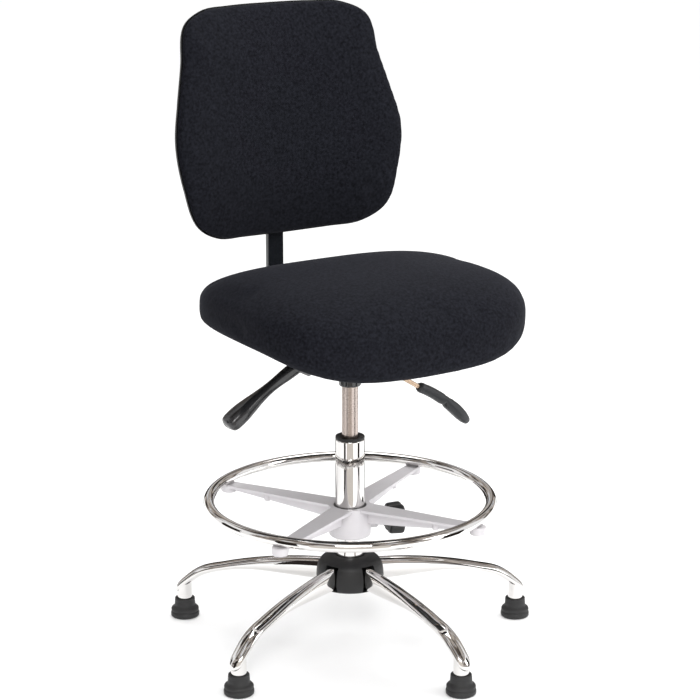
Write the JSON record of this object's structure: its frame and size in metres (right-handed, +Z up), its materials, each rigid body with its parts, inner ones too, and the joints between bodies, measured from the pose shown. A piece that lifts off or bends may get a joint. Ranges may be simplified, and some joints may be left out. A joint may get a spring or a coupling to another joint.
{
  "type": "drafting chair",
  "caption": "Armless drafting chair with a waterfall seat, contoured backrest on a flat steel upright, gas lift, adjustable footring and a star base on glides.",
  "frame": {"origin": "on the column's axis at the floor, which is within tolerance of the bounding box's bottom centre", "axes": "+Z up, the sitter faces -Y, +X to the sitter's left"},
  "size_m": [0.6337, 0.6569, 1.0705],
  "materials": {
    "chrome": "polished",
    "satin_steel": "satin",
    "cast_aluminium": "satin",
    "zinc_steel": "satin",
    "black_steel": "gloss",
    "black_plastic": "satin",
    "gloss_black_plastic": "gloss",
    "grey_plastic": "satin",
    "rubber": "matte",
    "fabric": "matte",
    "plywood": "satin",
    "dust_cloth": "matte"
  },
  "bodies": {
    "base": {"base_hub_socket": "black_steel", "base_hub_cover": "black_plastic", "base_leg_1": "chrome", "base_leg_2": "chrome", "base_leg_3": "chrome", "base_leg_4": "chrome", "base_leg_5": "chrome", "glide_1": "rubber", "glide_2": "rubber", "glide_3": "rubber", "glide_4": "rubber", "glide_5": "rubber", "column_tube": "chrome", "column_bush": "black_plastic", "column_end_plate": "black_steel", "thrust_bearing": "satin_steel"},
    "lift_rod": {"piston_rod": "satin_steel", "bearing_washer": "satin_steel", "rubber_bumper": "rubber", "retaining_clip": "satin_steel"},
    "footring_sleeve": {"footring_sleeve": "grey_plastic"},
    "footring": {"footring_ring": "chrome", "footring_spider": "cast_aluminium", "footring_screw_1": "satin_steel", "footring_screw_2": "satin_steel", "footring_screw_3": "satin_steel", "footring_screw_4": "satin_steel"},
    "footring_clamp": {"footring_clamp_pad": "grey_plastic"},
    "footring_knob": {"footring_knob": "black_plastic", "footring_clamp_stud": "zinc_steel"},
    "carriage": {"gas_cylinder": "satin_steel", "taper_socket": "black_steel", "mechanism_housing": "black_steel", "seat_plate": "black_steel", "seat_bolt_1": "zinc_steel", "seat_bolt_2": "zinc_steel", "seat_bolt_3": "zinc_steel", "seat_bolt_4": "zinc_steel", "height_lever_pin": "zinc_steel", "lock_lever_pin": "zinc_steel", "back_pivot_pin": "zinc_steel", "tilt_spring": "satin_steel", "seat_board": "plywood", "seat_dust_cover": "dust_cloth", "seat_cushion": "fabric"},
    "valve_button": {"valve_button": "satin_steel"},
    "height_lever": {"height_lever": "gloss_black_plastic", "height_lever_screw": "zinc_steel", "height_lever_tang": "zinc_steel"},
    "lock_lever": {"lock_lever_rod": "zinc_steel", "lock_lever_grip": "grey_plastic"},
    "back_arm": {"back_arm": "black_steel", "back_upright": "black_steel"},
    "back_rest": {"back_slider": "black_plastic", "back_board": "plywood", "back_cushion": "fabric", "back_shell": "black_plastic"},
    "back_clamp": {"back_clamp_pad": "grey_plastic"},
    "back_knob": {"back_knob": "black_plastic", "back_clamp_stud": "zinc_steel"}
  },
  "joints": [
    {"name": "swivel", "type": "hinge", "parent": "base", "child": "lift_rod", "pos_m": [0, 0, 0.11], "axis": [0, 0, 1], "continuous": true},
    {"name": "seat_lift", "type": "slide", "parent": "lift_rod", "child": "carriage", "axis": [0, 0, 1], "range_m": [-0.083, 0.067]},
    {"name": "footring_slide", "type": "slide", "parent": "base", "child": "footring_sleeve", "axis": [0, 0, 1], "range_m": [-0.025, 0.075]},
    {"name": "footring_turn", "type": "hinge", "parent": "footring_sleeve", "child": "footring", "pos_m": [0, 0, 0.25], "axis": [0, 0, 1], "continuous": true},
    {"name": "footring_clamp_travel", "type": "slide", "parent": "footring", "child": "footring_clamp", "axis": [0.9636, -0.2672, 0], "range_m": [0, 0.00251]},
    {"name": "footring_knob_turn", "type": "hinge", "parent": "footring_clamp", "child": "footring_knob", "pos_m": [0.06745, -0.01871, 0.208], "axis": [0.9636, -0.2672, 0], "range_deg": [0, 600]},
    {"name": "valve_press", "type": "slide", "parent": "carriage", "child": "valve_button", "axis": [0, 0, -1], "range_m": [0, 0.005], "stiffness_N_per_m": 400},
    {"name": "height_lever_pull", "type": "hinge", "parent": "carriage", "child": "height_lever", "pos_m": [-0.035, 0.038, 0.5], "axis": [0, 1, 0], "range_deg": [0, 8], "stiffness_Nm_per_rad": 1.5, "springref_deg": -17.19},
    {"name": "lock_lever_lift", "type": "hinge", "parent": "carriage", "child": "lock_lever", "pos_m": [0.044, -0.005, 0.488], "axis": [0, -1, 0], "range_deg": [0, 12]},
    {"name": "back_tilt", "type": "hinge", "parent": "carriage", "child": "back_arm", "pos_m": [0, 0.062, 0.497], "axis": [-1, 0, 0], "range_deg": [-4, 20]},
    {"name": "back_height", "type": "slide", "parent": "back_arm", "child": "back_rest", "axis": [0, 0.1444, 0.9895], "range_m": [-0.03, 0.05]},
    {"name": "back_clamp_travel", "type": "slide", "parent": "back_rest", "child": "back_clamp", "axis": [0, 0.9895, -0.1444], "range_m": [0, 0.00251]},
    {"name": "back_knob_turn", "type": "hinge", "parent": "back_clamp", "child": "back_knob", "pos_m": [0, 0.26059, 0.8], "axis": [0, 0.9895, -0.1444], "range_deg": [0, 600]}
  ],
  "couplings": [
    {"joint": "footring_clamp_travel", "follows": "footring_knob_turn", "m_per_rad": 0.00023873},
    {"joint": "back_clamp_travel", "follows": "back_knob_turn", "m_per_rad": 0.00023873},
    {"joint": "valve_press", "follows": "height_lever_pull", "m_per_rad": 0.035}
  ]
}
